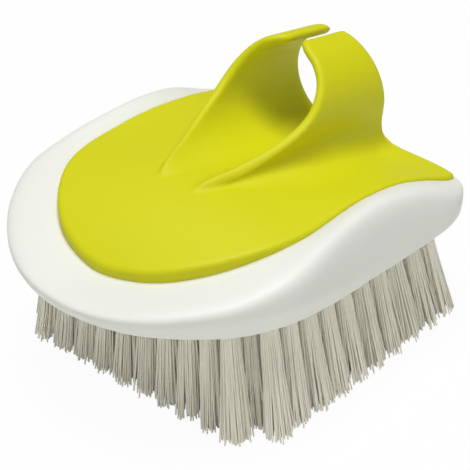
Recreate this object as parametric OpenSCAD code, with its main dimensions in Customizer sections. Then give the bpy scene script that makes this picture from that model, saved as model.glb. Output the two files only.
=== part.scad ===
// Palm-held vegetable brush with a split finger ring.
// A white moulded body carries a soft green pad whose two wings curl up into the ring.
// A flat tuft block closes the body from below and holds the rows of nylon tufts.
// Millimetres. The bristle tips stand on z = 0, the nose points to -Y, x = 0 is the middle.

/* [Body] */
// height of the body's lower edge over the bristle tips
body_base_z = 24; // [22:0.5:26]
// how much higher the lower edge is at the nose
nose_lift = 3.6; // [2:0.2:5]

/* [Grip pad] */
// height of the pad's edge band at the nose
pad_edge_front = 1.9; // [1.6:0.1:2.4]
// height of the pad's edge band at the rear
pad_edge_rear = 1.4; // [1.2:0.1:1.8]
// rounding radius along the pad's top edge
pad_round = 0.7; // [0.6:0.1:1]
// depth of the recess that the pad is moulded into
pad_seat_depth = 1.2; // [1:0.1:1.4]

/* [Finger ring] */
// inner diameter of the finger ring
ring_inner_d = 21.2; // [20:0.2:23]
// thickness of the two wings
wing_t = 2.2; // [1.8:0.1:2.6]
// angle between each wing tip and the top of the ring
slit_angle = 7; // [6:1:12]

/* [Tuft block] */
// thickness of the tuft block with its tufted layer
block_t = 3.4; // [3.2:0.1:3.6]
// thickness of the layer that the tufts are fused to
slice_t = 1; // [0.8:0.1:1.2]
// play between the tuft block and the body's pocket
weld_gap = 0.05; // [0:0.01:0.1]

/* [Bristles] */
// distance from one row to the next
row_pitch = 5; // [4.8:0.1:5.1]
// distance from one tuft to the next in its row
tuft_pitch = 5.3; // [5:0.1:5.4]
// lean of the outermost tufts
tuft_lean = 7.5; // [4:0.5:9]
// width across one strand
strand_w = 1.6; // [1.2:0.1:1.7]

/* [Hidden] */
// stations from the nose to the middle of the rear edge, each [x, y]
pad_stations = [
  [0, -31.4], [6.5, -30.4], [12.6, -28.2], [18, -24.6], [22.8, -19.6], [26.8, -13.2],
  [29, -5], [29.6, 4], [30, 13], [30.3, 22], [30.8, 31], [31.2, 37], [28.5, 39.5],
  [15, 40], [0, 40.1]
];
// widest line of the body wall, each [x, y, z]
wall_stations = [
  [0, -41.6, 29.6], [8, -40.9, 29.8], [16.2, -38.2, 30.2], [24, -33.2, 30.8], [31.4, -25.6, 31.4],
  [36, -16.4, 31], [37.1, -5.5, 29.4], [37, 4.5, 28.2], [37, 13, 27.8], [37.1, 22, 27.6],
  [37, 29.8, 27.2], [34.6, 36.4, 26.6], [29.6, 40, 26.2], [15, 41.2, 26.4], [0, 41.6, 26.6]
];
// lower edge of the body wall, each [x, y]
foot_stations = [
  [0, -41], [7.5, -40.2], [15.6, -37.4], [23, -31.9], [29.5, -24.6], [33.4, -15.6],
  [35, -5.4], [35.7, 4.5], [36.3, 13], [36.8, 22], [36.6, 30], [34.2, 36.3], [29.3, 39.5],
  [15, 40.5], [0, 40.7]
];
// height of the pad's lower edge line, each [y, z]
seat_line = [
  [-42, 27.6], [-31.4, 31.2], [-28, 32.4], [-24, 33.6], [-20, 34.6], [-15, 35.6], [-10, 36.1],
  [-5, 36.3], [0, 36.4], [6, 36.5], [12, 36.2], [18, 35.3], [24, 33.9], [30, 31.7], [35, 29.5],
  [42, 27.1]
];
// crown of the pad over its edges, and the finger channel where it is negative, [y, rise]
crown_line = [
  [-32, 0], [-26, 0.9], [-20, 1.4], [-12, 1.8], [-7, 1.7], [0, 0.5], [8, -1.3], [16, -2.4],
  [24, -2.4], [32, -1.2], [38, 0.6], [42, 0.8]
];
// height of the floor of the finger channel, each [y, z]
floor_line = [
  [-20, 36], [-12, 38.3], [-7, 39.35], [0, 38.5], [8, 37.2], [16, 35.3], [24, 33.4], [32, 31.5],
  [42, 29.2]
];
// front rim of a wing, each [angle from the floor, y]
rim_line = [
  [0, -4], [12, -7.4], [24, -10], [35, -5.5], [49.5, 1.4], [65, 7.9], [85, 14.7], [112, 20.3],
  [124, 22], [135, 23.1], [145, 23.9], [154, 24.4], [168, 26], [180, 28.5]
];
// angle at which the fillet leaves a wing's outside, each [y, angle]
flare_angle = [[-7, 22], [0, 40], [8, 57], [14, 68], [20, 74], [42, 76]];
// where the fillet runs out on the pad, each [y, x]
flare_foot = [[-7, 9], [0, 14], [8, 17.5], [16, 19], [24, 19], [32, 18], [38, 16.5], [42, 16.5]];

half_steps = 40;
outline_n = 2 * half_steps;
station_n = len(pad_stations) - 1;
foot_w = 2;
deck_t = 1.6;
deck_ledge = 4;
ring_rear_y = 39.6;
ring_r = ring_inner_d / 2;
tuft_rows = 11;
tufts_per_row = 12;
field_half_x = tuft_pitch * (tufts_per_row - 1) / 2;
field_front_y = -21.5;
field_rear_y = field_front_y + (tuft_rows - 1) * row_pitch;
// the tuft block reaches this far past the middles of the outer tufts
block_past_x = 4.25;
block_past_front = 4.1;
block_past_rear = 3.5;
block_under = 0.4;
block_half_x = field_half_x + block_past_x;
block_front_y = field_front_y - block_past_front;
block_rear_y = field_rear_y + block_past_rear;
anchor_w = 2.4;
anchor_t = 0.4;
anchor_h = 1.4;
strand_root = 1;
strand_part = 2.4;
// how far cuts and strands run past what they have to reach
past = 1;

function mirrored(q) = [for (k = [0:len(q) - 1]) k == 0 ? -q[0] : q[k]];

// a smooth curve through the stations, mirrored beyond both ends
function station_curve(p, i, f) =
  let(
    n = len(p) - 1,
    a = i > 0 ? p[i - 1] : mirrored(p[1]),
    b = p[i],
    c = p[i + 1],
    d = i + 2 <= n ? p[i + 2] : mirrored(p[n - 1])
  )
  (2 * b + (c - a) * f + (2 * a - 5 * b + 4 * c - d) * f * f
    + (3 * b - a - 3 * c + d) * f * f * f) / 2;

function half_point(p, j) =
  let(t = j * station_n / half_steps, i = min(floor(t), station_n - 1))
  station_curve(p, i, t - i);

function outline(p) = [
  for (j = [0:outline_n - 1])
    j <= half_steps ? half_point(p, j) : mirrored(half_point(p, outline_n - j))
];

function plan(q) = [q[0], q[1]];
function inward(q, d) = plan(q) * (1 - d / norm(plan(q)));
function foot_z(y) = body_base_z + nose_lift * pow(max(0, -y - 2) / 39, 1.6);
function seat_z(y) = lookup(y, seat_line);
function edge_h(y) = pad_edge_front + (pad_edge_rear - pad_edge_front) * (y + 32) / 72;
function bezier(a, b, c, d, f) =
  pow(1 - f, 3) * a + 3 * f * pow(1 - f, 2) * b + 3 * f * f * (1 - f) * c + f * f * f * d;

// a closed skin over rings of points, with a fan to one point at each end
module fan_skin(rings, first_tip, last_tip) {
  n = len(rings[0]);
  m = len(rings);
  sides = [
    for (i = [0:m - 2])
      for (j = [0:n - 1])
        let(k = (j + 1) % n)
          each [
            [i * n + j, i * n + k, (i + 1) * n + k],
            [i * n + j, (i + 1) * n + k, (i + 1) * n + j]
          ]
  ];
  fans = [
    for (j = [0:n - 1])
      let(k = (j + 1) % n)
        each [[m * n, k, j], [m * n + 1, (m - 1) * n + j, (m - 1) * n + k]]
  ];
  polyhedron(
    points = concat([for (r = rings) for (q = r) q], [first_tip, last_tip]),
    faces = concat(sides, fans),
    convexity = 8
  );
}

// everything over or under the curved seat of the pad, moved up by rise
module over_seat(rise) {
  seat_slab(rise, 2 * widest);
}

module under_seat(rise) {
  seat_slab(rise, 0);
}

module seat_slab(rise, z) {
  rotate([90, 0, 90])
    linear_extrude(height = 2 * widest, center = true)
      polygon(concat([for (q = seat_line) q + [0, rise]], [[widest, z], [-widest, z]]));
}

// half the span of the tables along the body
widest = 42;
// how far the rim's top runs out flat before it turns down into the wall, each [y, share]
shoulder_line = [
  [-42, 0.8], [-13, 0.78], [-7, 0.66], [0, 0.54], [6, 0.47], [12, 0.43], [18, 0.42],
  [23, 0.52], [30, 0.72], [42, 0.75]
];
// how far the wall leans in over its widest line, each [y, share]
lean_line = [
  [-42, 0], [-13, 0.04], [-7, 0.14], [0, 0.24], [6, 0.31], [12, 0.34], [18, 0.34], [23, 0.26],
  [30, 0.1], [42, 0]
];
rim_fall = 0.02;
wall_square = 0.85;
belly = 0.35;
tuck = 0.3;
rim_steps = 8;
belly_steps = 4;

// the wall from the pad's edge over the shoulder, the widest line and down to the foot
function wall_point(p, w, f, k) =
  let(
    edge = [p[0], p[1], seat_z(p[1])],
    foot = [f[0], f[1], foot_z(f[1])],
    way = [w[0] - p[0], w[1] - p[1], 0],
    lean = lookup(p[1], lean_line) * way,
    over = edge + lookup(p[1], shoulder_line) * way - [0, 0, rim_fall * norm(way)],
    side = w - lean + [0, 0, wall_square * (edge[2] - w[2])],
    low = w + rim_lean * lean - [0, 0, belly * (w[2] - foot[2])]
  )
  k <= rim_steps
    ? bezier(edge, over, side, w, k / rim_steps)
    : bezier(w, low, foot + tuck * (w - foot), foot, (k - rim_steps) / belly_steps);

// how much of the lean runs on below the widest line
rim_lean = 0.2;
// the foot's flat ring, and where the underside meets the block's level
foot_flat = 1.2;
foot_fall = 0.1;
foot_run = 6;

module body_blank() {
  p = outline(pad_stations);
  w = outline(wall_stations);
  f = outline(foot_stations);
  n = outline_n - 1;
  fan_skin(
    concat(
      [[for (j = [0:n]) [0.5 * p[j][0], 0.5 * p[j][1], seat_z(p[j][1]) + 0.3]]],
      [
        for (k = [0:rim_steps + belly_steps])
          [for (j = [0:n]) wall_point(p[j], w[j], f[j], k)]
      ],
      [[
        for (j = [0:n])
          let(q = inward(f[j], foot_flat))
            [q[0], q[1], foot_z(f[j][1]) - foot_fall]
      ]],
      [[
        for (j = [0:n])
          let(q = inward(f[j], foot_run))
            [q[0], q[1], slice_z]
      ]]
    ),
    [0, 0, seat_z(0) + 0.6],
    [0, 0, slice_z]
  );
}

// plan of the pocket for the tuft block, drawn in by gap
module block_plan(gap) {
  intersection() {
    translate([-block_half_x + gap, block_front_y + gap])
      square([2 * (block_half_x - gap), block_rear_y - block_front_y - 2 * gap]);
    polygon([for (q = outline(foot_stations)) inward(q, foot_w + gap)]);
  }
}

module body_shell() {
  color("white")
    difference() {
      body_blank();
      intersection() {
        linear_extrude(height = 2 * widest) polygon(outline(pad_stations));
        over_seat(-pad_seat_depth);
      }
      translate([0, 0, body_base_z - past])
        linear_extrude(height = past + block_under + block_t) block_plan(0);
      intersection() {
        translate([0, 0, body_base_z]) linear_extrude(height = widest) block_plan(deck_ledge);
        under_seat(-pad_seat_depth - deck_t);
      }
    }
}

// the pad's top, whose crown dies out at this distance from the middle
crown_half_x = 30;
function pad_top(x, y) =
  seat_z(y) + edge_h(y) + lookup(y, crown_line) * (1 - pow(min(1, abs(x) / crown_half_x), 2));

module pad_blank() {
  p = outline(pad_stations);
  n = outline_n - 1;
  fan_skin(
    concat(
      [for (s = [0.15, 0.3, 0.45, 0.6, 0.73, 0.85]) [
        for (j = [0:n])
          let(q = s * p[j])
            [q[0], q[1], pad_top(q[0], q[1])]
      ]],
      [for (a = [0, 22.5, 45, 67.5, 90]) [
        for (j = [0:n])
          let(q = inward(p[j], pad_round * (1 - sin(a))))
            [q[0], q[1], pad_top(q[0], q[1]) - pad_round * (1 - cos(a))]
      ]],
      [[for (j = [0:n]) [p[j][0], p[j][1], body_base_z]]]
    ),
    [0, 0, pad_top(0, 0)],
    [0, 0, body_base_z]
  );
}

function floor_z(y) = lookup(y, floor_line);
// a point of the ring's wall at angle a from the floor, r from the ring's middle line
function ring_point(a, r, y) = [r * sin(a), y, floor_z(y) + ring_r - r * cos(a)];

wing_steps = 24;
span_steps = 8;
// one loop round a wing: along the inside, round the rear rim, back along the outside
function wing_loop(a, grow) =
  let(
    h = wing_t / 2,
    y0 = lookup(abs(a), rim_line) + h,
    span = ring_rear_y - h - y0,
    g = h * grow,
    r = ring_r + h
  )
  concat(
    [for (k = [0:span_steps]) ring_point(a, r - g, y0 + span * k / span_steps)],
    [for (b = [30:30:150]) ring_point(a, r - g * cos(b), y0 + span + h * sin(b))],
    [for (k = [span_steps:-1:0]) ring_point(a, r + g, y0 + span * k / span_steps)],
    [for (b = [30:30:150]) ring_point(a, r + g * cos(b), y0 - h * sin(b))]
  );

function middle(q) = [for (c = q) c * [for (i = c) 1] / len(c)];

// the curled sheet that makes both wings, open at the top by the slit
module wing_sheet() {
  last = 180 - slit_angle;
  soft = wing_t / 2 / ring_r * 180 / PI;
  turns = concat(
    [for (b = [15, 35, 60]) [-last + soft - soft * cos(b), sin(b)]],
    [for (k = [-wing_steps:wing_steps]) [k * (last - soft) / wing_steps, 1]],
    [for (b = [60, 35, 15]) [last - soft + soft * cos(b), sin(b)]]
  );
  loops = [for (t = turns) wing_loop(t[0], t[1])];
  fan_skin(loops, middle(transpose(loops[0])), middle(transpose(loops[len(loops) - 1])));
}

function transpose(q) = [for (k = [0:2]) [for (i = q) i[k]]];

flare_sink = 0.03;
flare_root = 1.4;
flare_front_y = -6;
flare_rear_y = ring_rear_y - 0.3;
flare_steps = 15;
turn_steps = 6;
// the hollow fillet that runs from a wing's outside down to the pad, one section at y
function flare_loop(y) =
  let(
    a = lookup(y, flare_angle),
    top = ring_point(a, ring_r + wing_t - flare_sink, y),
    x = lookup(y, flare_foot),
    low = [x, y, pad_top(x, y) - flare_sink],
    turn = [top[0] - wing_t * sin(a), y, low[2]]
  )
  concat(
    [
      for (k = [0:turn_steps])
        let(f = k / turn_steps)
          pow(1 - f, 2) * top + 2 * f * (1 - f) * turn + f * f * low
    ],
    [low - [0, 0, flare_root]],
    [for (f = [0.15, 0.4, 0.65, 0.9]) ring_point(a * f, ring_r + 0.6 * wing_t, y)]
  );

module flare() {
  step = (flare_rear_y - flare_front_y) / flare_steps;
  all = [for (k = [0:flare_steps]) flare_loop(flare_rear_y - k * step)];
  fan_skin(all, middle(transpose(all[0])), middle(transpose(all[flare_steps])));
}

module grip_pad() {
  color("yellowgreen")
    difference() {
      union() {
        pad_blank();
        wing_sheet();
        flare();
        mirror([1, 0, 0]) flare();
      }
      under_seat(-pad_seat_depth);
    }
}

// the block's bottom layer, which the tufts are fused to, cut to one row
slice_z = body_base_z + block_under;
slice_gap = 1.2;

function row_y(i) = field_front_y + i * row_pitch;
function row_from(i) = row_y(i) - row_pitch / 2;

module field_plan(gap) {
  intersection() {
    block_plan(slice_gap + gap);
    translate([-block_half_x, row_from(0) + gap])
      square([2 * block_half_x, tuft_rows * row_pitch - 2 * gap]);
  }
}

module tuft_block() {
  color("ghostwhite")
    difference() {
      translate([0, 0, slice_z]) linear_extrude(height = block_t) block_plan(weld_gap);
      translate([0, 0, slice_z - past]) linear_extrude(height = past + slice_t) field_plan(0);
      anchors();
    }
}

// the corner tufts of the first row would stand outside the rounded body
function in_row(i, k) = i > 0 || (k > 0 && k < tufts_per_row - 1);
function tuft_x(k) = (k - (tufts_per_row - 1) / 2) * tuft_pitch;
function lean_x(x) = tuft_lean * x / field_half_x;
function lean_y(y) =
  tuft_lean * (2 * y - field_front_y - field_rear_y) / (field_rear_y - field_front_y);

module anchors() {
  for (i = [0:tuft_rows - 1])
    for (k = [0:tufts_per_row - 1])
      if (in_row(i, k))
        translate([tuft_x(k) - anchor_w / 2, row_y(i) - anchor_t / 2, slice_z + slice_t])
          cube([anchor_w, anchor_t, anchor_h]);
}

module tuft_anchors() {
  color("silver") anchors();
}

// one tuft is a bundle of three strands that part a little on the way down
module tuft(x, y) {
  root = slice_z + slice_t / 2;
  strand_l = root / pow(cos(tuft_lean + strand_part), 2) + past;
  for (a = [90, 210, 330])
    translate([x + strand_root * cos(a), y + strand_root * sin(a), root])
      rotate([lean_y(y) + strand_part * sin(a), -lean_x(x) - strand_part * cos(a), 0])
        translate([0, 0, -strand_l])
          rotate([0, 0, a])
            cylinder(h = strand_l, r = strand_w / sqrt(3), $fn = 3);
}

module bristle_row(i) {
  color("gainsboro")
    difference() {
      union() {
        translate([0, 0, slice_z])
          linear_extrude(height = slice_t)
            intersection() {
              field_plan(0);
              translate([-block_half_x, row_from(i)]) square([2 * block_half_x, row_pitch]);
            }
        for (k = [0:tufts_per_row - 1])
          if (in_row(i, k)) tuft(tuft_x(k), row_y(i));
      }
      // the tips are cut flat where the brush stands on them
      translate([-widest, -widest, -widest]) cube([2 * widest, 2 * widest, widest]);
    }
}

body_shell();
grip_pad();
tuft_block();
tuft_anchors();
bristle_row(0);  // bristle_row_01
bristle_row(1);  // bristle_row_02
bristle_row(2);  // bristle_row_03
bristle_row(3);  // bristle_row_04
bristle_row(4);  // bristle_row_05
bristle_row(5);  // bristle_row_06
bristle_row(6);  // bristle_row_07
bristle_row(7);  // bristle_row_08
bristle_row(8);  // bristle_row_09
bristle_row(9);  // bristle_row_10
bristle_row(10);  // bristle_row_11
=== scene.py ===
"""Looks of the palm-held vegetable brush: white body, soft green pad with its ring, nylon tufts."""

import math

import bmesh
import bpy
import numpy as np
from mathutils import Matrix, Vector


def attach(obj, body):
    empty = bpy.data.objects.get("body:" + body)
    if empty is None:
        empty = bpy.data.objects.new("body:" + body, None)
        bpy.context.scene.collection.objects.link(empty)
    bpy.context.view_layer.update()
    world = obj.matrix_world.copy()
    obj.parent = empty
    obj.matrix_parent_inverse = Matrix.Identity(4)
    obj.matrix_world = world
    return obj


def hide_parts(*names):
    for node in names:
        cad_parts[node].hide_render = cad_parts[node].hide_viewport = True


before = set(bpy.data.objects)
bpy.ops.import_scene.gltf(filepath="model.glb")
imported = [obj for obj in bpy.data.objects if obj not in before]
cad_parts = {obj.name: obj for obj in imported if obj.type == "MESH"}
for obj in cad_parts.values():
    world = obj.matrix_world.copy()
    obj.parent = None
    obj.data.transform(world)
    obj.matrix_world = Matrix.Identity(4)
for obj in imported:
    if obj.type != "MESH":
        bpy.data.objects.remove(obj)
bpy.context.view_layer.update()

MM = 0.001

# sizes in millimetres and angles in degrees, in the frame of the CAD
BODY_BASE_Z = 24
PAD_ROUND = 0.7
PAD_SEAT_DEPTH = 1.2
PAD_UNDER_GAP = 0.1
CROWN_HALF_X = 30
RING_R = 10.6
WING_T = 2.2
SLIT_ANGLE = 7
RING_REAR_Y = 39.6
BLOCK_UNDER = 0.4
BLOCK_T = 3.4
BLOCK_FRONT_Y = -25.6
BLOCK_REAR_Y = 32
BLOCK_HALF_X = 33.4
WELD_GAP = 0.05
FOOT_W = 2
DECK_T = 1.6
ROW_PITCH = 5
TUFT_PITCH = 5.3
TUFT_ROWS = 11
TUFTS_PER_ROW = 12
FIELD_FRONT_Y = -21.5
TUFT_LEAN = 7.5
SLICE_Z = BODY_BASE_Z + BLOCK_UNDER
ROOT_DEPTH = 1.0

# the foot lifts towards the nose: by how much, from which y, over what length, how suddenly
NOSE_LIFT = 3.6
NOSE_LIFT_FROM_Y = -2
NOSE_LIFT_RUN = 39
NOSE_LIFT_CURVE = 1.6

# one half of three lines round the body, from the nose to the middle of the rear edge: the pad's
# edge (x, y), the widest line (x, y, z) and the foot (x, y)
PAD_STATIONS = [
    (0, -31.4), (6.5, -30.4), (12.6, -28.2), (18, -24.6), (22.8, -19.6), (26.6, -13.2),
    (28.7, -5), (28.9, 4), (28.8, 13), (29, 22), (30, 31), (31, 37), (28.5, 39.5),
    (15, 40), (0, 40.1),
]
WALL_STATIONS = [
    (0, -41.6, 29.6), (8, -40.9, 29.8), (16.2, -38.2, 30.2), (24, -33.2, 30.8),
    (31.4, -25.6, 31.4), (36, -16.4, 30.8), (36.6, -5.5, 29), (36.3, 4.5, 28.2),
    (36.4, 13, 27.8), (36.7, 22, 27.6), (36.8, 29.8, 27.4), (34.6, 36.4, 26.6), (29.6, 40, 26.2),
    (15, 41.2, 26.4), (0, 41.6, 26.6),
]
FOOT_STATIONS = [
    (0, -41), (7.5, -40.2), (15.6, -37.4), (23, -31.9), (29.5, -24.6), (33.4, -15.6),
    (35, -5.4), (35.7, 4.5), (36.3, 13), (36.8, 22), (36.6, 30), (34.2, 36.3), (29.3, 39.5),
    (15, 40.5), (0, 40.7),
]
# height of the seat that the pad lies in, by y
SEAT_LINE = [
    (-42, 27.6), (-31.4, 31.2), (-28, 32.4), (-24, 33.6), (-20, 34.6), (-15, 35.6), (-10, 36.1),
    (-5, 36.3), (0, 36.4), (6, 36.5), (12, 36.2), (18, 35.3), (24, 33.9), (30, 31.7), (35, 29.5),
    (42, 27.1),
]
# how far the pad's arch stands over its sides in the middle, by y
CROWN_LINE = [
    (-32, 0), (-26, 1), (-20, 1.7), (-12, 2.45), (-7, 2.55), (0, 1.45), (8, -0.35), (16, -1.5),
    (24, -1.6), (32, -0.6), (38, 0.9), (42, 1),
]
# height of the pad's edge band, by y
EDGE_LINE = [
    (-32, 1.9), (-24, 1.75), (-14, 1.2), (-5, 0.8), (5, 0.7), (20, 0.7), (30, 0.8), (40, 1.2),
]
# height of the floor of the finger ring, by y
FLOOR_LINE = [
    (-20, 36), (-12, 38.3), (-7, 39.35), (0, 38.5), (8, 37.2), (16, 35.3), (24, 33.4), (32, 31.5),
    (42, 29.2),
]
# y of a wing's front rim, by the angle round the ring from its floor
RIM_LINE = [
    (0, -4), (12, -7.4), (24, -10), (35, -5.5), (49.5, 1.4), (65, 7.9), (85, 14.7), (112, 20.3),
    (124, 22), (135, 23.1), (145, 23.9), (154, 24.4), (168, 26), (180, 28.5),
]
# the hollow fillet outside a wing, by y: the angle at which it leaves the ring, and the x at
# which it runs out on the pad
FLARE_ANGLE = [(-7, 28), (0, 46), (8, 60), (14, 69.5), (20, 74.5), (42, 76)]
FLARE_FOOT = [
    (-7, 11), (0, 16), (8, 19.5), (16, 21), (24, 20.5), (32, 18.5), (38, 16.5), (42, 16.5),
]
# its hidden side inside the wing, as shares of that angle
FLARE_ROOT = (0.15, 0.4, 0.65, 0.9)
FLARE_FRONT_Y = -6
FLARE_REAR_GAP = 0.3
FLARE_STEP = 0.75
FLARE_SINK = 0.03
FLARE_DRAW_IN = 2.2
FLARE_DEPTH = 1.4

# how the white rim swells beside the pad, each line by y: how far out the swell reaches and how
# far the wall's top leans in, as shares of the way from the pad to the widest line, and how high
# both stand over the pad's lower edge
SWELL_REACH = [
    (-42, 0.8), (-20, 0.8), (-14, 0.86), (-8.4, 0.82), (-1.6, 0.73), (4.7, 0.7), (10.7, 0.685),
    (16.5, 0.685), (21.8, 0.725), (30.7, 0.73), (36, 0.76), (42, 0.75),
]
SWELL_RISE = [
    (-42, -0.2), (-27, -0.4), (-20, -0.5), (-14, 0.45), (-8.4, 1.5), (-1.6, 2.5), (4.7, 2.6),
    (10.7, 2.55), (16.5, 2.4), (21.8, 1.85), (30.7, 0.7), (36, 0), (42, -0.1),
]
WALL_LEAN = [
    (-42, 0), (-20, 0), (-14, 0.01), (-8.4, 0.02), (-1.6, 0.095), (4.7, 0.126), (10.7, 0.145),
    (16.5, 0.14), (21.8, 0.1), (30.7, 0.072), (36, 0), (42, 0),
]
WALL_RISE = [
    (-42, -0.3), (-27, -0.4), (-20, -0.5), (-14, 0.3), (-8.4, 1), (-1.6, 1.9), (4.7, 2),
    (10.7, 1.95), (16.5, 1.8), (21.8, 1.25), (30.7, 0), (36, -0.4), (42, -0.3),
]
# the wall below the widest line: how far its top goes on leaning in, how far it hangs straight
# down first, and how far it stays out before it tucks in to the foot
RIM_LEAN = 0.2
BELLY = 0.35
TUCK = 0.3
SHOULDER_STEPS = 24
WALL_STEPS = 12

# the rounded underside of the foot: how far in and how far below its edge, and the ledge inside
LIP_UP = 0.1
FOOT_LIP = ((0.25, 0.1), (0.6, 0.15), (1.2, 0))
LEDGE_W = 6
DECK_LEDGE = 4

HALF_STEPS = 130
WELD_TOLERANCE = 1e-5


def along(table, at):
    """A smooth line through the table's points, read at one place or many."""
    x = np.array([q[0] for q in table], float)
    z = np.array([q[1] for q in table], float)
    slope = np.gradient(z, x)
    at = np.clip(np.asarray(at, float), x[0], x[-1])
    i = np.clip(np.searchsorted(x, at, side="right") - 1, 0, len(x) - 2)
    step = x[i + 1] - x[i]
    f = (at - x[i]) / step
    rise = 3 * f * f - 2 * f ** 3
    return (
        z[i] * (1 - rise)
        + z[i + 1] * rise
        + step * slope[i] * (f ** 3 - 2 * f * f + f)
        + step * slope[i + 1] * (f ** 3 - f * f)
    )


def outline(stations):
    """The closed line through the stations and their mirror images, from the nose round."""
    p = np.array(stations, float)
    n = len(p) - 1
    flip = np.ones(p.shape[1])
    flip[0] = -1
    p = np.vstack([p[1] * flip, p, p[n - 1] * flip])
    half = []
    for j in range(HALF_STEPS + 1):
        t = j * n / HALF_STEPS
        i = min(int(t), n - 1)
        f = t - i
        a, b, c, d = p[i], p[i + 1], p[i + 2], p[i + 3]
        half.append(
            (
                2 * b
                + (c - a) * f
                + (2 * a - 5 * b + 4 * c - d) * f * f
                + (3 * b - a - 3 * c + d) * f ** 3
            )
            / 2
        )
    half = np.array(half)
    return np.vstack([half, half[-2:0:-1] * flip])


def inward(q, d):
    """The plan of the points q, drawn in towards the middle by d."""
    plan = q[:, :2]
    far = np.linalg.norm(plan, axis=1, keepdims=True)
    return plan * (1 - np.asarray(d).reshape(-1, 1) / far)


def at_height(plan, z):
    """The points of a plan, set at one height or at one height each."""
    return np.column_stack([plan, np.broadcast_to(z, len(plan))])


def seat_z(y):
    """Height of the pad's seat."""
    return along(SEAT_LINE, y)


def foot_z(y):
    """Height of the body's foot, which lifts towards the nose."""
    share = np.maximum(0, NOSE_LIFT_FROM_Y - y) / NOSE_LIFT_RUN
    return BODY_BASE_Z + NOSE_LIFT * share ** NOSE_LIFT_CURVE


def pad_top(x, y):
    """Height of the pad's arched top."""
    crown = along(CROWN_LINE, y) * (1 - np.minimum(1, np.abs(x) / CROWN_HALF_X) ** 2)
    return seat_z(y) + along(EDGE_LINE, y) + crown


def bezier(a, b, c, d, f):
    """The points at the share f of the curves from a to d, led by b and c."""
    return (1 - f) ** 3 * a + 3 * f * (1 - f) ** 2 * b + 3 * f * f * (1 - f) * c + f ** 3 * d


def skin(name, rings, first, last):
    """A closed mesh over rings of points, in millimetres, with a fan at each end."""
    n = len(rings[0])
    points = np.vstack([*rings, [first], [last]])
    tip = n * len(rings)
    faces = []
    for i in range(len(rings) - 1):
        for j in range(n):
            k = (j + 1) % n
            faces.append((i * n + j, (i + 1) * n + j, (i + 1) * n + k, i * n + k))
    base = (len(rings) - 1) * n
    for j in range(n):
        k = (j + 1) % n
        faces.append((tip, j, k))
        faces.append((tip + 1, base + k, base + j))
    mesh = bpy.data.meshes.new(name)
    mesh.from_pydata(points.tolist(), [], faces)
    mesh.validate()
    return mesh


def outward(mesh):
    """Turns the faces of a closed mesh outwards."""
    b = bmesh.new()
    b.from_mesh(mesh)
    bmesh.ops.remove_doubles(b, verts=b.verts, dist=WELD_TOLERANCE)
    bmesh.ops.recalc_face_normals(b, faces=b.faces)
    b.to_mesh(mesh)
    b.free()


def place(mesh, name, material):
    """An object of the scene from a mesh in millimetres."""
    mesh.transform(Matrix.Scale(MM, 4))
    mesh.shade_smooth()
    mesh.materials.clear()
    mesh.materials.append(material)
    piece = bpy.data.objects.new(name, mesh)
    bpy.context.scene.collection.objects.link(piece)
    return piece


def settled(obj):
    """The mesh that the object's modifiers make, with the modifiers removed."""
    depsgraph = bpy.context.evaluated_depsgraph_get()
    mesh = bpy.data.meshes.new_from_object(
        obj.evaluated_get(depsgraph), preserve_all_data_layers=True, depsgraph=depsgraph
    )
    obj.modifiers.clear()
    bpy.data.objects.remove(obj)
    return mesh


def srgb(code):
    """A hex colour as linear red, green, blue and full alpha."""
    channels = [int(code[i : i + 2], 16) / 255 for i in (1, 3, 5)]
    linear = [c / 12.92 if c <= 0.04045 else ((c + 0.055) / 1.055) ** 2.4 for c in channels]
    return (*linear, 1.0)


def add_node(tree, kind, settings=None, inputs=None):
    """One node with its settings; an input takes a value or another node's output."""
    new = tree.nodes.new(kind)
    for key, value in (settings or {}).items():
        setattr(new, key, value)
    for key, value in (inputs or {}).items():
        if isinstance(value, bpy.types.NodeSocket):
            tree.links.new(value, new.inputs[key])
        else:
            new.inputs[key].default_value = value
    return new


def new_material(name):
    """An empty material and its node tree."""
    material = bpy.data.materials.new(name)
    material.use_nodes = True
    material.node_tree.nodes.clear()
    return material, material.node_tree


def moulded_polypropylene():
    # Injection-moulded white polypropylene: a satin, slightly waxy white with a soft highlight
    # and the faint unevenness of a cooled thick wall.
    material, tree = new_material("moulded_white_polypropylene")
    here = add_node(tree, "ShaderNodeTexCoord").outputs["Object"]
    # slow unevenness of the white, about 14 mm across
    cloud = add_node(
        tree, "ShaderNodeTexNoise", None, {"Vector": here, "Scale": 70.0, "Detail": 2.0}
    )
    tone = add_node(
        tree,
        "ShaderNodeMix",
        {"data_type": "RGBA"},
        {"Factor": cloud.outputs["Fac"], "A": srgb("#F1F1EA"), "B": srgb("#ECECE5")},
    )
    # sparks of the mould's fine blasted finish, 0.35 mm apart
    grain = add_node(
        tree, "ShaderNodeTexNoise", None, {"Vector": here, "Scale": 2800.0, "Detail": 1.0}
    )
    rough = add_node(
        tree,
        "ShaderNodeMapRange",
        None,
        {"Value": grain.outputs["Fac"], "To Min": 0.44, "To Max": 0.54},
    )
    bump = add_node(
        tree,
        "ShaderNodeBump",
        None,
        {"Strength": 0.05, "Distance": 0.00004, "Height": grain.outputs["Fac"]},
    )
    # light sinks up to 1.5 mm into the milky plastic
    shader = add_node(
        tree,
        "ShaderNodeBsdfPrincipled",
        None,
        {
            "Base Color": tone.outputs["Result"],
            "Roughness": rough.outputs["Result"],
            "IOR": 1.49,
            "Normal": bump.outputs["Normal"],
            "Subsurface Weight": 0.12,
            "Subsurface Radius": (1.0, 0.9, 0.75),
            "Subsurface Scale": 0.0015,
        },
    )
    add_node(tree, "ShaderNodeOutputMaterial", None, {"Surface": shader.outputs["BSDF"]})
    return material


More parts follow.
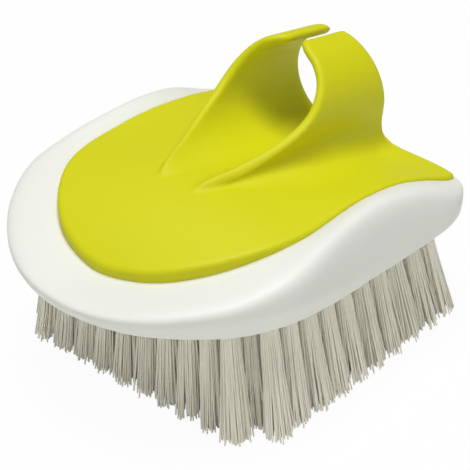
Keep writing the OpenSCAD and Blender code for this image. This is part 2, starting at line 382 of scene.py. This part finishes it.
def soft_touch_elastomer():
    # Lime thermoplastic elastomer, overmoulded: matte, with a very fine stipple and a pale sheen
    # where it faces the light.
    material, tree = new_material("soft_touch_lime_elastomer")
    here = add_node(tree, "ShaderNodeTexCoord").outputs["Object"]
    # slow unevenness of the dye, about 22 mm across
    cloud = add_node(
        tree, "ShaderNodeTexNoise", None, {"Vector": here, "Scale": 45.0, "Detail": 3.0}
    )
    tone = add_node(
        tree,
        "ShaderNodeMix",
        {"data_type": "RGBA"},
        {"Factor": cloud.outputs["Fac"], "A": srgb("#D9D704"), "B": srgb("#D5D304")},
    )
    # stipple of the spark-eroded mould, 0.3 mm
    stipple = add_node(
        tree, "ShaderNodeTexNoise", None, {"Vector": here, "Scale": 3300.0, "Detail": 1.0}
    )
    rough = add_node(
        tree,
        "ShaderNodeMapRange",
        None,
        {"Value": stipple.outputs["Fac"], "To Min": 0.5, "To Max": 0.62},
    )
    bump = add_node(
        tree,
        "ShaderNodeBump",
        None,
        {"Strength": 0.12, "Distance": 0.00005, "Height": stipple.outputs["Fac"]},
    )
    shader = add_node(
        tree,
        "ShaderNodeBsdfPrincipled",
        None,
        {
            "Base Color": tone.outputs["Result"],
            "Roughness": rough.outputs["Result"],
            "IOR": 1.5,
            "Specular IOR Level": 0.35,
            "Normal": bump.outputs["Normal"],
        },
    )
    add_node(tree, "ShaderNodeOutputMaterial", None, {"Surface": shader.outputs["BSDF"]})
    return material


def drawn_nylon():
    # Extruded nylon filament: off-white, each one a shade of its own, with a narrow gloss along
    # it that breaks the tuft up into fine pale streaks.
    material, tree = new_material("drawn_nylon_filament")
    own = add_node(tree, "ShaderNodeAttribute", {"attribute_name": "filament_tone"})
    tone = add_node(
        tree,
        "ShaderNodeMix",
        {"data_type": "RGBA"},
        {"Factor": own.outputs["Fac"], "A": srgb("#FFFBEC"), "B": srgb("#FFFEF3")},
    )
    shader = add_node(
        tree,
        "ShaderNodeBsdfPrincipled",
        None,
        {
            "Base Color": tone.outputs["Result"],
            "Diffuse Roughness": 1.0,
            "Roughness": 0.38,
            "IOR": 1.53,
        },
    )
    add_node(tree, "ShaderNodeOutputMaterial", None, {"Surface": shader.outputs["BSDF"]})
    return material


def drawn_steel():
    # Flat steel wire, cold drawn: grey, with fine scratches along its length.
    material, tree = new_material("cold_drawn_steel_wire")
    here = add_node(tree, "ShaderNodeTexCoord").outputs["Object"]
    # scratches about 0.1 mm apart and ten times as long
    stretched = add_node(
        tree, "ShaderNodeMapping", None, {"Vector": here, "Scale": (0.1, 1.0, 1.0)}
    )
    streak = add_node(
        tree,
        "ShaderNodeTexNoise",
        None,
        {"Vector": stretched.outputs["Vector"], "Scale": 9000.0, "Detail": 1.0},
    )
    rough = add_node(
        tree,
        "ShaderNodeMapRange",
        None,
        {"Value": streak.outputs["Fac"], "To Min": 0.25, "To Max": 0.45},
    )
    shader = add_node(
        tree,
        "ShaderNodeBsdfPrincipled",
        None,
        {
            "Base Color": srgb("#B9BABB"),
            "Metallic": 1.0,
            "Roughness": rough.outputs["Result"],
        },
    )
    add_node(tree, "ShaderNodeOutputMaterial", None, {"Surface": shader.outputs["BSDF"]})
    return material


WHITE = moulded_polypropylene()
LIME = soft_touch_elastomer()
NYLON = drawn_nylon()
STEEL = drawn_steel()


def block_line(gap):
    """Plan of the tuft block's pocket, drawn in by gap."""
    plan = inward(outline(FOOT_STATIONS), FOOT_W + gap)
    plan[:, 0] = np.clip(plan[:, 0], gap - BLOCK_HALF_X, BLOCK_HALF_X - gap)
    plan[:, 1] = np.clip(plan[:, 1], BLOCK_FRONT_Y + gap, BLOCK_REAR_Y - gap)
    return plan


def make_body():
    """The white moulding: recess, swollen rim, wall, foot, ledge, pocket and deck."""
    pad = outline(PAD_STATIONS)
    wall = outline(WALL_STATIONS)
    foot = outline(FOOT_STATIONS)
    foot = at_height(foot, foot_z(foot[:, 1]))
    edge = at_height(pad, seat_z(pad[:, 1]))
    way = wall[:, :2] - pad
    at = pad[:, 1]
    swell = way * along(SWELL_REACH, at)[:, None]
    lean = way * along(WALL_LEAN, at)[:, None]
    over = at_height(pad + swell, edge[:, 2] + along(SWELL_RISE, at))
    side = at_height(wall[:, :2] - lean, edge[:, 2] + along(WALL_RISE, at))
    rings = []
    recess = seat_z(pad[:, 1]) - PAD_SEAT_DEPTH
    below_edge = 0.2
    for s in (0.3, 0.6, 0.85):
        rings.append(at_height(s * pad, seat_z(s * pad[:, 1]) - PAD_SEAT_DEPTH))
    rings.append(at_height(pad, recess))
    rings.append(at_height(pad, recess + PAD_SEAT_DEPTH - below_edge))
    for k in range(SHOULDER_STEPS + 1):
        rings.append(bezier(edge, over, side, wall, k / SHOULDER_STEPS))
    drop = wall + np.column_stack([RIM_LEAN * lean, BELLY * (foot[:, 2] - wall[:, 2])])
    lead = foot + TUCK * (wall - foot)
    for k in range(1, WALL_STEPS + 1):
        rings.append(bezier(wall, drop, lead, foot, k / WALL_STEPS))
    lip = foot[:, 2] - LIP_UP
    for d, fall in FOOT_LIP:
        rings.append(at_height(inward(foot, d), lip - fall))
    pocket = block_line(0)
    far = np.linalg.norm(foot[:, :2] - pocket, axis=1)
    lip_w = FOOT_LIP[-1][0]
    ledge = np.minimum(far, LEDGE_W)
    ramp = np.clip((ledge - lip_w) / (LEDGE_W - lip_w), 0, 1)
    low = lip + ramp * (SLICE_Z - lip)
    shelf = (ledge / far)[:, None]
    rings.append(at_height(foot[:, :2] + (pocket - foot[:, :2]) * shelf, low))
    rings.append(at_height(pocket, low))
    rings.append(at_height(pocket, SLICE_Z + BLOCK_T))
    inner = block_line(DECK_LEDGE)
    rings.append(at_height(inner, SLICE_Z + BLOCK_T))
    roof = PAD_SEAT_DEPTH + DECK_T
    rings.append(at_height(inner, seat_z(inner[:, 1]) - roof))
    for s in (0.7, 0.4):
        rings.append(at_height(s * inner, seat_z(s * inner[:, 1]) - roof))
    middle = seat_z(0)
    mesh = skin("body", rings, (0, 0, middle - PAD_SEAT_DEPTH), (0, 0, middle - roof))
    outward(mesh)
    piece = place(mesh, "body_moulding", WHITE)
    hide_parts("body_shell")
    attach(piece, "root")


def pad_solid():
    """The arched pad with its rounded edge, down to the seat."""
    pad = outline(PAD_STATIONS)
    rings = []
    top_shares = np.linspace(0.06, 0.94, 16)
    edge_turns = np.radians(np.linspace(0, 90, 9))
    for s in top_shares:
        q = s * pad
        rings.append(at_height(q, pad_top(q[:, 0], q[:, 1])))
    for a in edge_turns:
        q = inward(pad, PAD_ROUND * (1 - math.sin(a)))
        rings.append(at_height(q, pad_top(q[:, 0], q[:, 1]) - PAD_ROUND * (1 - math.cos(a))))
    under = PAD_SEAT_DEPTH - PAD_UNDER_GAP
    for s in (1, 0.8, 0.6, 0.4, 0.2):
        q = s * pad
        rings.append(at_height(q, seat_z(q[:, 1]) - under))
    return skin("pad", rings, (0, 0, float(pad_top(0, 0))), (0, 0, float(seat_z(0)) - under))


def ring_point(a, r, y):
    """A point of the finger ring at the angle a from its floor, r from its axis."""
    a = math.radians(a)
    return (r * math.sin(a), y, float(along(FLOOR_LINE, y)) + RING_R - r * math.cos(a))


def wing_loop(a, grow):
    """One loop round a wing: along the inside, round the rear rim, back along the outside.

    Its thickness is the share grow of the whole, which rounds the wings' ends off at the slit.
    """
    h = WING_T / 2
    y0 = float(along(RIM_LINE, abs(a))) + h
    span = RING_REAR_Y - h - y0
    g = h * grow
    r = RING_R + h
    count = 24
    steps = [k / count for k in range(count + 1)]
    turn = [math.radians(b) for b in range(15, 180, 15)]
    loop = [ring_point(a, r - g, y0 + span * f) for f in steps]
    loop += [ring_point(a, r - g * math.cos(b), y0 + span + h * math.sin(b)) for b in turn]
    loop += [ring_point(a, r + g, y0 + span * f) for f in reversed(steps)]
    loop += [ring_point(a, r + g * math.cos(b), y0 - h * math.sin(b)) for b in turn]
    return np.array(loop)


def wings_solid():
    """Both wings in one curled sheet, from one side of the slit round to the other."""
    last = 180 - SLIT_ANGLE
    soft = math.degrees(WING_T / 2 / RING_R)
    ends = []
    for degrees in range(80, 5, -10):
        b = math.radians(degrees)
        ends.append((last - soft + soft * math.cos(b), math.sin(b)))
    turns = [(-a, g) for a, g in reversed(ends)]
    turns += [(a, 1) for a in np.linspace(soft - last, last - soft, 141)]
    turns += ends
    loops = [wing_loop(a, g) for a, g in turns]
    return skin("wings", loops, loops[0].mean(0), loops[-1].mean(0))


def flare_solid(side):
    """The hollow fillet from a wing's outside down to the pad."""
    loops = []
    inside_r = RING_R + 0.6 * WING_T
    for y in np.arange(RING_REAR_Y - FLARE_REAR_GAP, FLARE_FRONT_Y, -FLARE_STEP):
        a = float(along(FLARE_ANGLE, y))
        x = float(along(FLARE_FOOT, y))
        top = np.array(ring_point(a, RING_R + WING_T - FLARE_SINK, y))
        low = np.array((x, y, float(pad_top(x, y)) - FLARE_SINK))
        turn = np.array((top[0] - FLARE_DRAW_IN * math.sin(math.radians(a)), y, low[2]))
        loop = []
        for f in np.linspace(0, 1, 13):
            loop.append((1 - f) ** 2 * top + 2 * f * (1 - f) * turn + f * f * low)
        loop.append(low - np.array((0, 0, FLARE_DEPTH)))
        loop += [ring_point(a * f, inside_r, y) for f in FLARE_ROOT]
        loops.append(np.array(loop) * (side, 1, 1))
    return skin("flare", loops, loops[0].mean(0), loops[-1].mean(0))


def make_pad():
    """Pad, wings and fillets fused into one soft skin."""
    whole = bmesh.new()
    for part in (pad_solid(), wings_solid(), flare_solid(1), flare_solid(-1)):
        outward(part)
        whole.from_mesh(part)
    mesh = bpy.data.meshes.new("grip")
    whole.to_mesh(mesh)
    whole.free()
    rough = bpy.data.objects.new("grip_rough", mesh)
    bpy.context.scene.collection.objects.link(rough)
    fuse = rough.modifiers.new("fuse", "REMESH")
    fuse.mode = "VOXEL"
    fuse.voxel_size = 0.42
    # rounds the creases where wings, fillets and pad meet
    calm = rough.modifiers.new("calm", "SMOOTH")
    calm.factor = 0.5
    calm.iterations = 6
    mesh = settled(rough)
    # the fused underside stays just above the seat
    co = np.array([v.co for v in mesh.vertices])
    floor = seat_z(co[:, 1]) - PAD_SEAT_DEPTH + PAD_UNDER_GAP
    co[:, 2] = np.maximum(co[:, 2], floor)
    mesh.vertices.foreach_set("co", co.ravel())
    piece = place(mesh, "grip_pad_moulding", LIME)
    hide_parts("grip_pad")
    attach(piece, "root")


def tuft_places():
    """The row, x and y of each tuft; the first row has none at its two ends."""
    for i in range(TUFT_ROWS):
        for k in range(TUFTS_PER_ROW):
            if i > 0 or 0 < k < TUFTS_PER_ROW - 1:
                yield i, (k - (TUFTS_PER_ROW - 1) / 2) * TUFT_PITCH, FIELD_FRONT_Y + i * ROW_PITCH


def make_block():
    """The plate with a round hole for each tuft."""
    line = block_line(WELD_GAP)
    chamfer = 0.3
    hole_r = 1.75
    hole_deep = 2.4
    hole_over = 1
    top = SLICE_Z + BLOCK_T
    rings = [
        at_height(line * 0.5, top),
        at_height(line, top),
        at_height(line, SLICE_Z + chamfer),
        at_height(inward(line, chamfer), SLICE_Z),
        at_height(line * 0.5, SLICE_Z),
    ]
    mesh = skin("block", rings, (0, 0, top), (0, 0, SLICE_Z))
    outward(mesh)
    plate = bpy.data.objects.new("plate", mesh)
    bpy.context.scene.collection.objects.link(plate)
    angles = np.radians(np.arange(0, 360, 30))
    points = []
    faces = []
    for _, x, y in tuft_places():
        n = len(points)
        for z in (SLICE_Z - hole_over, SLICE_Z + hole_deep):
            points += [(x + hole_r * math.cos(a), y + hole_r * math.sin(a), z) for a in angles]
        count = len(angles)
        faces.append([n + j for j in reversed(range(count))])
        faces.append([n + count + j for j in range(count)])
        for j in range(count):
            k = (j + 1) % count
            faces.append((n + j, n + k, n + count + k, n + count + j))
    pins = bpy.data.meshes.new("pins")
    pins.from_pydata(points, [], faces)
    cutter = bpy.data.objects.new("pins", pins)
    bpy.context.scene.collection.objects.link(cutter)
    drill = plate.modifiers.new("drill", "BOOLEAN")
    drill.operation = "DIFFERENCE"
    drill.solver = "EXACT"
    drill.object = cutter
    mesh = settled(plate)
    bpy.data.objects.remove(cutter)
    piece = place(mesh, "tuft_block_moulding", WHITE)
    piece.data.shade_flat()
    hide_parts("tuft_block")
    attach(piece, "root")


def tuft_tree():
    """Turns each point of a row into a tuft of filaments."""
    golden_angle = 2.39996
    full_turn = 6.28318
    least_tip_z = 0.2 * MM
    tree = bpy.data.node_groups.new("nylon_tufts", "GeometryNodeTree")
    sockets = {}
    for name, kind in (
        ("Geometry", "NodeSocketGeometry"),
        ("Filaments in a Tuft", "NodeSocketInt"),
        ("Filament Radius", "NodeSocketFloat"),
        ("Tuft Radius", "NodeSocketFloat"),
        ("Splay", "NodeSocketFloat"),
        ("Clumping", "NodeSocketVector"),
        ("Stray", "NodeSocketVector"),
        ("Bow", "NodeSocketFloat"),
        ("Tip Unevenness", "NodeSocketFloat"),
        ("Seed", "NodeSocketInt"),
        ("Material", "NodeSocketMaterial"),
    ):
        sockets[name] = tree.interface.new_socket(name, in_out="INPUT", socket_type=kind)
    tree.interface.new_socket("Geometry", in_out="OUTPUT", socket_type="NodeSocketGeometry")
    given = add_node(tree, "NodeGroupInput").outputs
    count = given["Filaments in a Tuft"]

    # a sunflower pattern packs the filaments evenly in the round hole
    points = add_node(tree, "GeometryNodeMeshToPoints", None, {"Mesh": given["Geometry"]})
    many = add_node(
        tree,
        "GeometryNodeDuplicateElements",
        {"domain": "POINT"},
        {"Geometry": points.outputs["Points"], "Amount": count},
    )
    order = many.outputs["Duplicate Index"]
    half_on = add_node(tree, "ShaderNodeMath", {"operation": "ADD"}, {0: order, 1: 0.5})
    share = add_node(
        tree, "ShaderNodeMath", {"operation": "DIVIDE"}, {0: half_on.outputs[0], 1: count}
    )
    out = add_node(tree, "ShaderNodeMath", {"operation": "SQRT"}, {0: share.outputs[0]})
    turn = add_node(tree, "ShaderNodeMath", {"operation": "MULTIPLY"}, {0: order, 1: golden_angle})
    arm = add_node(tree, "ShaderNodeCombineXYZ", None, {"X": out.outputs[0]})
    spread = add_node(
        tree,
        "ShaderNodeVectorRotate",
        {"rotation_type": "Z_AXIS"},
        {"Vector": arm.outputs[0], "Angle": turn.outputs[0]},
    )
    step = add_node(
        tree,
        "ShaderNodeVectorMath",
        {"operation": "SCALE"},
        {0: spread.outputs[0], "Scale": given["Tuft Radius"]},
    )
    rooted = add_node(
        tree,
        "GeometryNodeSetPosition",
        None,
        {"Geometry": many.outputs["Geometry"], "Offset": step.outputs[0]},
    )

    # each filament follows its tuft's lean, spreads, clumps with its neighbours and strays
    lean = add_node(
        tree,
        "GeometryNodeInputNamedAttribute",
        {"data_type": "FLOAT_VECTOR"},
        {"Name": "tuft_lean"},
    )
    root = add_node(tree, "GeometryNodeInputPosition").outputs[0]
    # clumps about 1 mm across
    drift = add_node(
        tree, "ShaderNodeTexNoise", None, {"Vector": root, "Scale": 900.0, "Detail": 1.0}
    )
    clump = add_node(
        tree,
        "ShaderNodeVectorMath",
        {"operation": "SUBTRACT"},
        {0: drift.outputs["Color"], 1: (0.5, 0.5, 0.5)},
    )
    own = add_node(
        tree,
        "FunctionNodeRandomValue",
        {"data_type": "FLOAT_VECTOR"},
        {"Min": (-1.0, -1.0, 0.0), "Max": (1.0, 1.0, 1.0), "Seed": given["Seed"]},
    )
    splayed = add_node(
        tree,
        "ShaderNodeVectorMath",
        {"operation": "MULTIPLY_ADD"},
        {0: spread.outputs[0], 1: given["Splay"], 2: lean.outputs["Attribute"]},
    )
    clumped = add_node(
        tree,
        "ShaderNodeVectorMath",
        {"operation": "MULTIPLY_ADD"},
        {0: clump.outputs[0], 1: given["Clumping"], 2: splayed.outputs[0]},
    )
    way = add_node(
        tree,
        "ShaderNodeVectorMath",
        {"operation": "MULTIPLY_ADD"},
        {0: own.outputs[0], 1: given["Stray"], 2: clumped.outputs[0]},
    )

    # the way falls by one for each unit of height, so its length times the height reaches z = 0
    height = add_node(tree, "ShaderNodeSeparateXYZ", None, {"Vector": root})
    luck = add_node(tree, "ShaderNodeSeparateXYZ", None, {"Vector": own.outputs[0]})
    rare = add_node(
        tree, "ShaderNodeMath", {"operation": "POWER"}, {0: luck.outputs["Z"], 1: 2.0}
    )
    short = add_node(
        tree,
        "ShaderNodeMath",
        {"operation": "MULTIPLY_ADD"},
        {0: rare.outputs[0], 1: given["Tip Unevenness"], 2: least_tip_z},
    )
    drop = add_node(
        tree,
        "ShaderNodeMath",
        {"operation": "SUBTRACT"},
        {0: height.outputs["Z"], 1: short.outputs[0]},
    )
    slant = add_node(tree, "ShaderNodeVectorMath", {"operation": "LENGTH"}, {0: way.outputs[0]})
    length = add_node(
        tree,
        "ShaderNodeMath",
        {"operation": "MULTIPLY"},
        {0: drop.outputs[0], 1: slant.outputs["Value"]},
    )
    size = add_node(
        tree, "ShaderNodeCombineXYZ", None, {"X": 1.0, "Y": 1.0, "Z": length.outputs[0]}
    )
    aim = add_node(
        tree, "FunctionNodeAlignRotationToVector", {"axis": "Z"}, {"Vector": way.outputs[0]}
    )

    # one filament of unit length, bowed a little towards its end
    end = add_node(tree, "ShaderNodeCombineXYZ", None, {"X": given["Bow"], "Z": 1.0})
    line = add_node(
        tree,
        "GeometryNodeCurveQuadraticBezier",
        None,
        {"Resolution": 4, "Start": (0, 0, 0), "Middle": (0, 0, 0.5), "End": end.outputs[0]},
    )
    ring = add_node(
        tree,
        "GeometryNodeCurvePrimitiveCircle",
        {"mode": "RADIUS"},
        {"Resolution": 5, "Radius": given["Filament Radius"]},
    )
    rod = add_node(
        tree,
        "GeometryNodeCurveToMesh",
        None,
        {
            "Curve": line.outputs["Curve"],
            "Profile Curve": ring.outputs["Curve"],
            "Fill Caps": True,
        },
    )
    placed = add_node(
        tree,
        "GeometryNodeInstanceOnPoints",
        None,
        {
            "Points": rooted.outputs["Geometry"],
            "Instance": rod.outputs["Mesh"],
            "Rotation": aim.outputs["Rotation"],
            "Scale": size.outputs[0],
        },
    )
    next_seed = add_node(
        tree, "ShaderNodeMath", {"operation": "ADD"}, {0: given["Seed"], 1: 1.0}
    )
    spin = add_node(
        tree,
        "FunctionNodeRandomValue",
        {"data_type": "FLOAT_VECTOR"},
        {"Min": (0, 0, 0), "Max": (0, 0, full_turn), "Seed": next_seed.outputs[0]},
    )
    turned = add_node(
        tree,
        "GeometryNodeRotateInstances",
        None,
        {
            "Instances": placed.outputs["Instances"],
            "Rotation": spin.outputs[0],
            "Local Space": True,
        },
    )
    toned = add_node(
        tree,
        "GeometryNodeStoreNamedAttribute",
        {"data_type": "FLOAT", "domain": "INSTANCE"},
        {
            "Geometry": turned.outputs["Instances"],
            "Name": "filament_tone",
            "Value": luck.outputs["Z"],
        },
    )
    whole = add_node(
        tree, "GeometryNodeRealizeInstances", None, {"Geometry": toned.outputs["Geometry"]}
    )
    finished = add_node(
        tree,
        "GeometryNodeSetMaterial",
        None,
        {"Geometry": whole.outputs["Geometry"], "Material": given["Material"]},
    )
    add_node(tree, "NodeGroupOutput", None, {"Geometry": finished.outputs["Geometry"]})
    return tree, sockets


def make_tufts():
    """One mesh for each row of tufts, leaning outwards towards the field's edges."""
    tree, sockets = tuft_tree()
    field_rear_y = FIELD_FRONT_Y + (TUFT_ROWS - 1) * ROW_PITCH
    middle_y = (FIELD_FRONT_Y + field_rear_y) / 2
    half_x = TUFT_PITCH * (TUFTS_PER_ROW - 1) / 2
    half_y = (field_rear_y - FIELD_FRONT_Y) / 2
    root_z = SLICE_Z + ROOT_DEPTH
    for row in range(TUFT_ROWS):
        roots = [(x, y) for i, x, y in tuft_places() if i == row]
        mesh = bpy.data.meshes.new("roots")
        mesh.from_pydata([(x * MM, y * MM, root_z * MM) for x, y in roots], [], [])
        leans = mesh.attributes.new("tuft_lean", "FLOAT_VECTOR", "POINT")
        for item, (x, y) in zip(leans.data, roots):
            lean_x = math.radians(TUFT_LEAN * x / half_x)
            lean_y = math.radians(TUFT_LEAN * (y - middle_y) / half_y)
            item.vector = (math.tan(lean_x), math.tan(lean_y), -1.0)
        base = bpy.data.objects.new("roots", mesh)
        bpy.context.scene.collection.objects.link(base)
        grow = base.modifiers.new("grow", "NODES")
        grow.node_group = tree
        for name, value in (
            ("Filaments in a Tuft", 130),
            ("Filament Radius", 0.16 * MM),
            ("Tuft Radius", 1.6 * MM),
            ("Splay", 0.046),
            ("Clumping", (0.07, 0.07, 0.0)),
            ("Stray", (0.012, 0.012, 0.0)),
            ("Bow", 0.5 * MM),
            ("Tip Unevenness", 1.6 * MM),
            ("Seed", 7 + 20 * row),
            ("Material", NYLON),
        ):
            grow[sockets[name].identifier] = value
        mesh = settled(base)
        mesh.shade_smooth()
        piece = bpy.data.objects.new(f"nylon_row_{row + 1:02d}", mesh)
        bpy.context.scene.collection.objects.link(piece)
        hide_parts(f"bristle_row_{row + 1:02d}")
        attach(piece, "root")


make_body()
make_pad()
make_block()
make_tufts()

# the flat anchors at the tufts' roots keep their own mesh
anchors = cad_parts["tuft_anchors"]
anchors.data.materials.clear()
anchors.data.materials.append(STEEL)


def studio_floor():
    # White paper sweep: seen by the camera almost plain white, it still takes a soft shadow.
    material, tree = new_material("white_paper_floor")
    paper = add_node(
        tree,
        "ShaderNodeBsdfPrincipled",
        None,
        {"Base Color": srgb("#F4F4F0"), "Roughness": 0.9, "Specular IOR Level": 0.1},
    )
    seen_white = 0.95
    glow = add_node(tree, "ShaderNodeEmission", None, {"Color": (1, 1, 1, 1), "Strength": 1.0})
    ray = add_node(tree, "ShaderNodeLightPath").outputs["Is Camera Ray"]
    share = add_node(
        tree, "ShaderNodeMath", {"operation": "MULTIPLY"}, {0: ray, 1: seen_white}
    ).outputs[0]
    both = add_node(
        tree,
        "ShaderNodeMixShader",
        None,
        {0: share, 1: paper.outputs["BSDF"], 2: glow.outputs["Emission"]},
    )
    add_node(tree, "ShaderNodeOutputMaterial", None, {"Surface": both.outputs["Shader"]})
    mesh = bpy.data.meshes.new("floor")
    half = 4
    corners = [(-half, -half, 0), (half, -half, 0), (half, half, 0), (-half, half, 0)]
    mesh.from_pydata(corners, [], [(0, 1, 2, 3)])
    mesh.materials.append(material)
    floor = bpy.data.objects.new("studio_floor", mesh)
    bpy.context.scene.collection.objects.link(floor)


def overhead_softbox():
    """A round white softbox 1 m above the floor, pointing straight down."""
    lamp = bpy.data.lights.new("overhead_softbox", "AREA")
    lamp.shape = "DISK"
    lamp.size = 0.5
    lamp.energy = 7.4
    holder = bpy.data.objects.new("overhead_softbox", lamp)
    holder.location = (0, 0, 1)
    bpy.context.scene.collection.objects.link(holder)


def studio_sky():
    """A dim white room, with a wide soft light on the side that the photograph is taken from."""
    world = bpy.data.worlds.new("studio_sky")
    world.use_nodes = True
    sky = world.node_tree
    sky.nodes.clear()
    look = add_node(sky, "ShaderNodeTexCoord").outputs["Generated"]
    toward = add_node(
        sky,
        "ShaderNodeVectorMath",
        {"operation": "DOT_PRODUCT"},
        {0: look, 1: (0.65, -0.64, 0.4)},
    ).outputs["Value"]
    opening = add_node(
        sky,
        "ShaderNodeMapRange",
        {"interpolation_type": "SMOOTHSTEP"},
        {"Value": toward, "From Min": 0.45, "From Max": 0.9, "To Min": 0.2, "To Max": 0.62},
    )
    even = add_node(
        sky,
        "ShaderNodeBackground",
        None,
        {"Color": srgb("#F6F8FA"), "Strength": opening.outputs["Result"]},
    )
    add_node(sky, "ShaderNodeOutputWorld", None, {"Surface": even.outputs["Background"]})
    bpy.context.scene.world = world


def photo_camera():
    """The camera fitted to the photograph: its axes and place in the part's frame."""
    right = Vector((0.733167, 0.676958, -0.064766))
    up = Vector((-0.340067, 0.447438, 0.827136))
    back = Vector((0.588915, -0.584403, 0.558258))
    lens = bpy.data.cameras.new("photo_camera")
    lens.sensor_width = 36
    lens.lens = 132.19
    lens.clip_start = 0.01
    lens.clip_end = 20
    holder = bpy.data.objects.new("photo_camera", lens)
    turn = Matrix((right, up, back)).transposed().to_4x4()
    holder.matrix_world = Matrix.Translation((0.207583, -0.200435, 0.216382)) @ turn
    bpy.context.scene.collection.objects.link(holder)
    bpy.context.scene.camera = holder


studio_floor()
studio_sky()
overhead_softbox()
photo_camera()
bpy.context.scene.view_settings.view_transform = "Standard"
